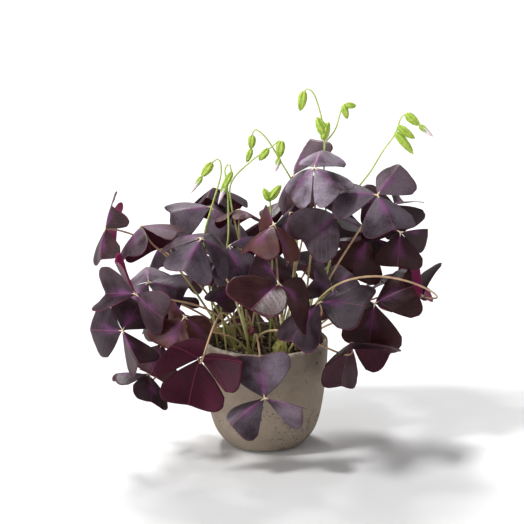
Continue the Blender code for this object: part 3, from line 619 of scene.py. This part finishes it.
def make_grit_paint():
    """Bark, sand, pale grit and moss, by the tone on the mesh."""
    dark_bark, bark, sand = (0.05, 0.03, 0.018), (0.16, 0.10, 0.055), (0.42, 0.36, 0.28)
    pale_grit, moss, dirt = (0.70, 0.66, 0.60), (0.20, 0.19, 0.035), (0.06, 0.04, 0.03)
    paint = Paint("grit")
    tone = paint.attribute("tone")
    base = paint.mix(paint.ramp(tone, 0.25, 0.35), dark_bark, bark)
    for low, high, colour in ((0.62, 0.70, sand), (0.90, 0.95, pale_grit), (1.5, 1.6, moss)):
        base = paint.mix(paint.ramp(tone, low, high), base, colour)
    base = paint.coat(base, paint.noise(700.0), 0.5, dirt)
    paint.bump(paint.noise(900.0, 4.0), 0.6, 0.0005)
    return paint.finish(base, 0.8)


def leaf_frame(look):
    """The turn from flat to a leaf whose upper face looks by compass and lean."""
    compass, lean = (radians(v) for v in look)
    level = sin(lean)
    face = Vector((level * cos(compass), level * sin(compass), cos(lean)))
    return Vector((0, 0, 1)).rotation_difference(face).to_matrix()


def edge_reach(angle):
    """Reach of the solids' edge at an angle from the midrib, in leaflet lengths."""
    return float(np.interp(abs(angle), [radians(a) for a, _ in OUTLINE], [r for _, r in OUTLINE]))


REACH_CURVE = curve_through([(a, r * 100, 0) for a, r in ((-15, 0.93), *OUTLINE)], 60)


def fine_reach(angle):
    """The same reach as one smooth curve, with the corners rounded off."""
    turn = degrees(abs(angle))
    reach = float(np.interp(turn, [p.x for p in REACH_CURVE], [p.y / 100 for p in REACH_CURVE]))
    return reach * (1 - CORNER_CUT * smooth_step(0.85, 1.0, turn / OUTLINE[-1][0]))


def leaflet_place(length, hang, curl, fold, along, across):
    """A place on a leaflet, in its leaf's flat frame, and its normal, with the midrib along +X."""
    bend = curl * along / length
    mean = hang + bend / 2
    steepness = hang + bend
    spine = Vector((along * cos(mean), 0, -along * sin(mean)))
    normal = Vector((sin(steepness), 0, cos(steepness)))
    return spine + Vector((0, across * cos(fold), 0)) - normal * abs(across) * sin(fold), normal


def free_fold(length, hang, curl, fold):
    """The sharpest fold, up to the one asked for, that keeps a leaflet inside its third of the leaf."""
    while fold > LEAST_FOLD:
        turns = []
        for out in (*ROWS, 1.0):
            reach = out * edge_reach(EDGE_ANGLE) * length
            place, _ = leaflet_place(length, hang, curl, fold, reach * cos(EDGE_ANGLE),
                                     reach * sin(EDGE_ANGLE))
            turns.append(atan2(place.y, place.x))
        if max(turns) <= TURN_LIMIT:
            return fold
        fold -= FOLD_STEP
    return fold


def leaf_shape(index):
    """Each leaflet's heading, hang, curl and fold, as in the solids."""
    _, _, length, _, heading, hangs, folds = LEAVES[index]
    rng = np.random.default_rng(SEED + index)
    shapes = []
    for k, hang in enumerate(hangs):
        curl = radians(LEAST_CURL + CURL_SPREAD * rng.random())
        start = radians(hang) - curl / 2
        turn = radians(heading + 120 * k)
        shapes.append((turn, start, curl, free_fold(length, start, curl, radians(folds[k]))))
    return shapes


def solid_points(index):
    """The points of a leaf's solid sheet round its hub, in the leaf's flat frame."""
    length = LEAVES[index][2] * MM
    points = []
    for turn, hang, curl, fold in leaf_shape(index):
        spin = Matrix.Rotation(turn, 3, "Z")
        for out, count in ((ROWS[0], 3), (ROWS[1], 5), (1.0, 7)):
            for k in range(count):
                angle = EDGE_ANGLE * (2 * k / (count - 1) - 1)
                reach = out * edge_reach(angle) * length
                points.append(spin @ leaflet_place(length, hang, curl, fold, reach * cos(angle),
                                                   reach * sin(angle))[0])
    return np.array(points)


def find_move(index):
    """Where the solid leaf stands: its hub, its turn from flat and its size, read from its box."""
    name, spot, _, look, _, _, _ = LEAVES[index]
    low, high = (np.array(corner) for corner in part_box("leaf_" + name))
    points = solid_points(index)
    best = None
    for turn, size in itertools.product(MOVE_TURNS, MOVE_SIZES):
        matrix = leaf_frame(look) @ Matrix.Rotation(radians(turn), 3, "Z")
        laid = points * size @ np.array(matrix).T
        centre = (low + high - laid.min(0) - laid.max(0)) / 2
        wrong = np.abs((high - low) - (laid.max(0) - laid.min(0))).sum()
        wrong += abs(centre[0] - spot[0] * MM)
        if best is None or wrong < best[0]:
            best = (wrong, Vector(centre), matrix, size)
    _, centre, matrix, size = best
    slide = SLIDE_STEP * round((centre.y - spot[1] * MM) / SIGHT.y / MM / SLIDE_STEP)
    lift = LIFT_STEP * round((centre.z - spot[2] * MM - SIGHT.z * slide * MM) / MM / LIFT_STEP)
    return Vector(spot) * MM + SIGHT * slide * MM + Vector((0, 0, lift * MM)), matrix, size


def make_leaf(index, place, paints):
    """One leaf: three finely meshed leaflets with waved edges."""
    hub, matrix, size = place
    name = LEAVES[index][0]
    length = LEAVES[index][2] * MM
    rng = np.random.default_rng(SEED * 100 + index)
    bm = bmesh.new()
    layers = {key: bm.verts.layers.float.new(key) for key in FIELDS}
    # This leaf's share of painted grey sheen, a painted reflection on its upper face.
    painted_sheen_share = PAINTED_SHEEN.get(name, float(rng.uniform(0.0, CHANCE_PAINTED_SHEEN)) ** 2)
    glow = GLOW.get(name, 0.0)
    for k, (turn, hang, curl, fold) in enumerate(leaf_shape(index)):
        spin = Matrix.Rotation(turn, 3, "Z")
        warm = WARM.get(name, (float(rng.random()) ** 2 * 0.3,) * 3)[k]
        wave = rng.uniform(0, tau, 3)
        swell = rng.uniform(0.7, 1.3) * MM
        droop = rng.uniform(-0.6, 1.8, 2) * MM
        notch, skew = rng.uniform(-0.03, 0.035), rng.uniform(-0.035, 0.035)
        tone = float(rng.random())
        blade = bmesh.ops.create_grid(bm, x_segments=LEAF_ROWS, y_segments=LEAF_COLUMNS, size=1.0)
        for count, vert in enumerate(blade["verts"]):
            column, row = divmod(count, LEAF_ROWS + 1)
            out = HUB_SHARE + (1 - HUB_SHARE) * (row / LEAF_ROWS) ** CROWDING
            angle = EDGE_ANGLE * (2 * column / LEAF_COLUMNS - 1)
            reach = out * fine_reach(angle) * length
            reach *= 1 - (notch * exp(-(angle / 0.14) ** 2) - skew * sin(angle * 2)) * out ** 2
            angle *= 1 + BELLY * sin(pi * out ** 0.7)
            along, across = reach * cos(angle), reach * sin(angle)
            soft = hypot(across, CREASE) - CREASE
            point, normal = leaflet_place(length, hang, curl, fold, along, across)
            ripple = sum(share * sin(angle * many + start)
                         for (many, share), start in zip(EDGE_WAVES, wave)) * out ** 3
            ripple += sin(along / length * LONG_WAVES[0] + wave[2]) * LONG_WAVES[1] * out
            vein = sin((along - VEIN_SWEEP * abs(across)) / VEIN_SPACING * pi)
            ripple += VEIN_SWELL * vein * smooth_step(1 * MM, 6 * MM, abs(across))
            sag = droop[0 if across > 0 else 1] * (across / length * 2) ** 2
            point += normal * ((abs(across) - soft) * sin(fold) + ripple * swell - sag)
            vert.co = matrix @ (spin @ point * size) + hub
            values = (along / MM, across / MM, out, tone, painted_sheen_share, warm, glow)
            for key, value in zip(FIELDS, values):
                vert[layers[key]] = value
    leaf = add_object("fine_leaf_" + name, bm, paints)
    thicken = leaf.modifiers.new("skin", "SOLIDIFY")
    thicken.thickness = SKIN
    thicken.offset = 0
    thicken.material_offset = 1
    thicken.material_offset_rim = 1
    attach(leaf, "root")
    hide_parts("leaf_" + name)


def make_hub(index, place, paint):
    """The cream star of three short stalklets on a leaf's hub."""
    hub, matrix, size = place
    bm, layer = start_mesh()
    face = matrix @ Vector((0, 0, 1))
    for turn, hang, _, _ in leaf_shape(index):
        out = matrix @ (Matrix.Rotation(turn, 3, "Z") @ Vector((cos(hang), 0, -sin(hang))))
        points = [hub + face * 0.25 * MM + out * step * MM * size for step in STAR_STEPS]
        add_tube(bm, points, [r * MM for r in STAR_RADII], 8, layer, STAR_TONES)
    star = add_object("hub_leaf_" + LEAVES[index][0], bm, [paint])
    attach(star, "root")


# Ways a petiole may bend: rise, reach under the hub, swing in degrees and lean.
BENDS = tuple((rise, reach, swing, lean) for lean in (0.25, 0.6) for rise in (0.45, 0.65, 0.9, 1.25)
              for reach in (0.28, 0.14, 0.45) for swing in (0, 25, -25, 50, -50, 90, -90))


def petiole_route(crown, hub, face, bend, steps):
    """A petiole from its crown up and over to the underside of its hub."""
    rise, reach, swing, tip = bend
    x, y = CROWNS[crown]
    foot = Vector((x * MM, y * MM, CROWN_TOP - 9 * MM))
    end = hub - face * (BLADE / 2 + GAP + 0.25 * MM)
    away = Vector((hub.x - foot.x, hub.y - foot.y, 0))
    span = (end - foot).length
    lean = away.normalized() * min(tip, away.length / span)
    lean = Matrix.Rotation(radians(swing), 3, "Z") @ lean
    first = foot + (lean + Vector((0, 0, 1))) * span * rise
    second = end - face * span * reach
    route = []
    for k in range(steps + 1):
        t = k / steps
        route.append(foot * (1 - t) ** 3 + first * 3 * t * (1 - t) ** 2
                     + second * 3 * t * t * (1 - t) + end * t ** 3)
    return route


def find_bend(place, trees):
    """The crown and bend whose route runs nearest to the solids."""
    hub, matrix, _ = place
    face = matrix @ Vector((0, 0, 1))
    best = None
    for crown, tree in trees.items():
        for bend in BENDS:
            route = petiole_route(crown, hub, face, bend, 6)
            wrong = sum(tree.find_nearest(point)[3] for point in route[2:6])
            if best is None or wrong < best[0]:
                best = (wrong, crown, bend)
    return best[1:]


def make_petioles(letter, ways, paint):
    """A crown's knob with all its petioles and a ring of small scales."""
    bm, layer = start_mesh()
    x, y = CROWNS[letter]
    rng = np.random.default_rng(SEED + ord(letter))
    foot = Vector((x * MM, y * MM, SOIL_TOP - 5 * MM))
    knob = [foot + Vector((0, 0, z * MM)) for z, _ in KNOB]
    add_tube(bm, knob, [CROWN_RADIUS * r for _, r in KNOB], 14, layer, (0, 0, 0.1, 0.2, 0.2))
    shares = [k / PETIOLE_RINGS for k in range(PETIOLE_RINGS + 1)]
    radii = [PETIOLE_RADIUS * (1.12 - 0.27 * share) for share in shares]
    radii[-2] *= 1.12
    tones = [smooth_step(0.05, 0.5, share) for share in shares]
    for hub, face, bend in ways:
        route = petiole_route(letter, hub, face, bend, PETIOLE_RINGS)
        route[-1] = hub - face * 0.15 * MM
        add_tube(bm, route, radii, PETIOLE_SIDES, layer, tones)
    for _ in range(CROWN_SCALES):
        turn, lean = rng.uniform(0, tau), rng.uniform(0.3, 0.9)
        start = foot + Vector((cos(turn), sin(turn), 0)) * CROWN_RADIUS * 0.7
        start += Vector((0, 0, 5 * MM))
        out = Vector((cos(turn) * lean, sin(turn) * lean, 1)).normalized()
        tall = rng.uniform(3, 8) * MM
        scale = [start + out * tall * share for share, _ in SCALE_SHAPE]
        add_tube(bm, scale, [r * MM for _, r in SCALE_SHAPE], 6, layer, (0, 0, 0.1, 0.2))
    petioles = add_object("petioles_" + letter, bm, [paint])
    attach(petioles, "root")
    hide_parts("crown_" + letter)


def add_fine_bud(bm, layer, root, tip, radius, pale):
    """A furled bud in its sepals. A pale one shows its petals."""
    root, tip = Vector(root) * MM, Vector(tip) * MM
    points = [root.lerp(tip, share) for share, _ in BUD_SHAPE]
    tones = [1.0 if pale else 0.0] * len(points)
    add_tube(bm, points, [radius * MM * r * 0.94 for _, r in BUD_SHAPE], 14, layer, tones, 1)
    axis = (tip - root).normalized()
    side = axis.orthogonal().normalized()
    span = (tip - root).length * (0.62 if pale else 0.9)
    for k in range(SEPALS):
        out = Matrix.Rotation(tau * k / SEPALS, 3, axis) @ side
        spine = [root + axis * span * share + out * radius * MM * r for share, r in SEPAL_SPINE]
        add_tube(bm, spine, [radius * MM * r for r in SEPAL_RADII], 6, layer, [0.0] * len(spine), 1)


def make_stalk(name, paints):
    """A flower stalk with its buds."""
    route, buds = STALKS[name]
    bm, layer = start_mesh()
    runs = [(curve_through(route, STALK_POINTS), STALK_RADIUS)]
    if name in BRANCH:
        runs.append((curve_through(BRANCH[name], BRANCH_POINTS), STALK_RADIUS * 0.9))
        buds = buds + BRANCH_BUDS[name]
    for run, radius in runs:
        points = [p * MM for p in run if p.z > SOIL_TOP / MM - 4]
        shares = [k / len(points) for k in range(len(points))]
        radii = [radius * (1.05 - 0.2 * share) for share in shares]
        add_tube(bm, points, radii, 10, layer, [smooth_step(0, 0.2, share) for share in shares])
    for root, tip, radius in buds:
        add_fine_bud(bm, layer, root, tip, radius, radius < PETAL_LIMIT and name != GREEN_STALK)
    stalk = add_object("fine_" + name, bm, paints)
    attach(stalk, "root")
    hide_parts(name)


def pot_radius(height):
    """Outer radius of the pot at a height."""
    return float(np.interp(height, [z * MM for _, z in POT_SIDE], [r * MM for r, _ in POT_SIDE]))


def make_pot(paint):
    """The pot, turned smoothly, with a worn and slightly uneven lip."""
    side = curve_through([(r, 0, z) for r, z in POT_SIDE], 44)
    outside = [*POT_FOOT, *((p.x, max(0.0, p.z)) for p in side), *POT_LIP]
    inside = [((pot_radius(z * MM) - POT_WALL) / MM, z) for z in range(92, 12, -5)]
    inside += [(34, POT_FLOOR / MM), (0, POT_FLOOR / MM)]
    bm = bmesh.new()
    turn_profile(bm, [(r * MM, z * MM) for r, z in outside + inside], POT_TURNS)
    bmesh.ops.recalc_face_normals(bm, faces=bm.faces)
    for vert in bm.verts:
        if vert.co.z > 90 * MM:
            wear = (noise.noise(vert.co * 260) + noise.noise(vert.co * 90)) * 0.35
            vert.co.z -= (0.25 + wear) * MM * smooth_step(95 * MM, 98.5 * MM, vert.co.z)
            vert.co -= Vector((vert.co.x, vert.co.y, 0)).normalized() * max(0.0, wear) * 0.5 * MM
    pot = add_object("fine_pot", bm, [paint])
    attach(pot, "root")
    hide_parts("pot")


def soil_height(x, y):
    """The solid soil's uneven top, with crumbs."""
    wave = sin(x / MM * 0.13 + 1.0) * cos(y / MM * 0.11)
    wave += 0.5 * sin(y / MM * 0.27 + x / MM * 0.21)
    edge = min(1.0, max(0.0, (50 * MM - hypot(x, y)) / (12 * MM)))
    here = Vector((x, y, 0))
    crumbs = 0.9 * noise.noise(here * 220) + 0.6 * noise.noise(here * 520)
    return SOIL_TOP + SOIL_BUMP * wave * edge + MM * crumbs


def make_soil(paint):
    """The crumbly top, closed by a skirt down inside the pot."""
    edge = pot_radius(SOIL_TOP) - POT_WALL - 0.15 * MM
    profile = [(edge * i / SOIL_RINGS, SOIL_TOP) for i in range(SOIL_RINGS + 1)]
    bm = bmesh.new()
    turn_profile(bm, profile + [(edge, SOIL_TOP - SOIL_SKIRT)], SOIL_TURNS)
    bmesh.ops.holes_fill(bm, edges=[line for line in bm.edges if line.is_boundary], sides=0)
    bmesh.ops.recalc_face_normals(bm, faces=bm.faces)
    for vert in bm.verts:
        if vert.co.z > SOIL_TOP - MM:
            vert.co.z = soil_height(vert.co.x, vert.co.y)
    soil = add_object("fine_soil", bm, [paint])
    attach(soil, "root")
    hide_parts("soil")


def add_grain(bm, layer, place, size, stretch, turn, tone):
    """One rough grain: a squashed low-poly stone."""
    made = bmesh.ops.create_icosphere(bm, subdivisions=1, radius=size)["verts"]
    spin = Matrix.Rotation(turn, 3, "Z") @ Matrix.Rotation(turn * 2.3, 3, "X")
    for vert in made:
        shape = vert.co * (1 + 0.35 * noise.noise(vert.co / size + Vector((tone * 9, turn, 0))))
        vert.co = spin @ Vector((shape.x * stretch, shape.y, shape.z * 0.7)) + place
        vert[layer] = tone


def make_grit(paint):
    """Grains and bark bits over the soil, and tufts of moss."""
    rng = np.random.default_rng(41)
    bm, layer = start_mesh()
    edge = pot_radius(SOIL_TOP) - POT_WALL - 2.2 * MM
    for _ in range(GRAINS):
        radius, turn = edge * sqrt(rng.random()), rng.uniform(0, tau)
        x, y = radius * cos(turn), radius * sin(turn)
        size = rng.uniform(0.35, 1.0) ** 2 * 1.5 * MM + 0.25 * MM
        place = Vector((x, y, soil_height(x, y) + size * 0.3))
        stretch, turn = rng.uniform(1.0, 2.2), rng.uniform(0, tau)
        add_grain(bm, layer, place, size, stretch, turn, float(rng.random()))
    for _ in range(MOSS_TUFTS):
        radius, turn = edge * sqrt(rng.random()), rng.uniform(0, tau)
        for _ in range(TUFT_GRAINS):
            x = radius * cos(turn) + rng.normal(0, 2.4) * MM
            y = radius * sin(turn) + rng.normal(0, 2.4) * MM
            if hypot(x, y) > edge:
                continue
            place = Vector((x, y, soil_height(x, y) + rng.uniform(0, 0.9) * MM))
            size = rng.uniform(0.25, 0.5) * MM
            add_grain(bm, layer, place, size, 2.4, rng.uniform(0, tau), MOSS_TONE)
    grit = add_object("grit", bm, [paint], smooth=False)
    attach(grit, "root")


def make_young_leaf(stem, paint):
    """A thin nodding stem with its leaf still folded, like a pink bud."""
    bm, layer = start_mesh()
    route = [p * MM for p in curve_through(YOUNG_ROUTE, 30)]
    add_tube(bm, route, [(0.85 - 0.3 * k / 30) * MM for k in range(31)], 8, layer, [0.6] * 31)
    for k in range(3):
        turn = tau * k / 3 + 0.4
        out = Vector((cos(turn), sin(turn), 0))
        fold = [route[-1] + Vector((0, 0, -drop * MM)) + out * wide * MM
                for drop, wide, _ in YOUNG_FOLD]
        add_tube(bm, fold, [r * MM for _, _, r in YOUNG_FOLD], 8, layer, [1.0] * 5, 1)
    young = add_object("young_leaf", bm, [stem, paint])
    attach(young, "root")


def make_withered_leaf(paint):
    """A small crumpled yellow-green leaflet on a short stem by the rim."""
    bm, layer = start_mesh()
    many = WITHERED_SQUARES
    blade = bmesh.ops.create_grid(bm, x_segments=many, y_segments=many, size=1.0)
    for count, vert in enumerate(blade["verts"]):
        row, column = divmod(count, many + 1)
        out, side = row / many, 2 * column / many - 1
        notch = 0.16 * abs(side) ** 3 + 0.14 * exp(-(side / 0.2) ** 2) * out
        along = WITHERED_LENGTH * out * (1 - notch)
        across = WITHERED_HALF_WIDTH * side * sin(pi * min(1.0, 0.12 + 0.72 * out)) ** 0.8
        crumple = 2.6 * noise.noise(Vector((along * 0.28, across * 0.30, 2.0))) - 0.22 * abs(across)
        vert.co = WITHERED_FOOT + Vector((across, crumple - along * 0.18, along * 0.97 + 4)) * MM
        vert[layer] = out
    stem = [WITHERED_FOOT + Vector((0, 0, z * MM)) for z in (-4, 0, 3, 5)]
    add_tube(bm, stem, [0.6 * MM] * 4, 8, layer, [0.0] * 4)
    leaf = add_object("withered_leaf", bm, [paint])
    thicken = leaf.modifiers.new("skin", "SOLIDIFY")
    thicken.thickness = 0.3 * MM
    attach(leaf, "root")


def make_room():
    """A plain pale floor and soft light."""
    bpy.ops.mesh.primitive_plane_add(size=FLOOR_SIZE, location=(0, 0, -FLOOR_DEPTH))
    floor = bpy.context.object
    floor.name = "floor"
    paint = Paint("floor_paint")
    paint.set(Base_Color=FLOOR_WHITE, Roughness=0.9)
    floor.data.materials.append(paint.material)
    world = bpy.data.worlds.new("studio")
    scene.world = world
    world.use_nodes = True
    sky = world.node_tree.nodes["Background"].inputs
    sky["Color"].default_value = (1.0, 1.0, 1.0, 1.0)
    sky["Strength"].default_value = SKY_STRENGTH
    scene.view_settings.view_transform = "Standard"
    for name, place, power, soft in SUNS:
        lamp = bpy.data.lights.new(name, "SUN")
        lamp.energy = power
        lamp.angle = radians(soft)
        light = bpy.data.objects.new(name, lamp)
        light.location = place
        light.rotation_euler = (-Vector(place)).to_track_quat("-Z", "Y").to_euler()
        scene.collection.objects.link(light)


def make_camera():
    """The photograph's camera, a little above the plant and 1.2 m in front."""
    camera = bpy.data.cameras.new("camera")
    camera.sensor_width = CAMERA_SENSOR
    camera.lens = CAMERA_LENS
    thing = bpy.data.objects.new("camera", camera)
    thing.location = CAMERA_PLACE
    thing.rotation_euler = (CAMERA_AIM - CAMERA_PLACE).to_track_quat("-Z", "Y").to_euler()
    scene.collection.objects.link(thing)
    scene.camera = thing


def build():
    """Everything in the scene."""
    make_camera()
    make_room()
    make_pot(make_pot_paint())
    make_soil(make_soil_paint())
    make_grit(make_grit_paint())
    faces, star = [make_leaf_top(), make_leaf_under()], make_hub_paint()
    trees = {}
    for letter in CROWNS:
        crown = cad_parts["crown_" + letter].data
        corners = [vert.co for vert in crown.vertices]
        trees[letter] = BVHTree.FromPolygons(corners, [face.vertices for face in crown.polygons])
    ways = {letter: [] for letter in CROWNS}
    for index in range(len(LEAVES)):
        place = find_move(index)
        make_leaf(index, place, faces)
        make_hub(index, place, star)
        letter, bend = find_bend(place, trees)
        ways[letter].append((place[0], place[1] @ Vector((0, 0, 1)), bend))
    tan = make_stem_paint("petiole_tan", (0.47, 0.27, 0.16), (0.64, 0.44, 0.26), (0.56, 0.52, 0.21))
    for letter, routes in ways.items():
        make_petioles(letter, routes, tan)
    make_young_leaf(tan, make_young_paint())
    make_withered_leaf(make_withered_paint())
    green = make_stem_paint("stalk_green", (0.38, 0.50, 0.10), (0.54, 0.64, 0.18), (0.62, 0.58, 0.24))
    bud = make_bud_paint()
    for name in STALKS:
        make_stalk(name, [green, bud])


build()
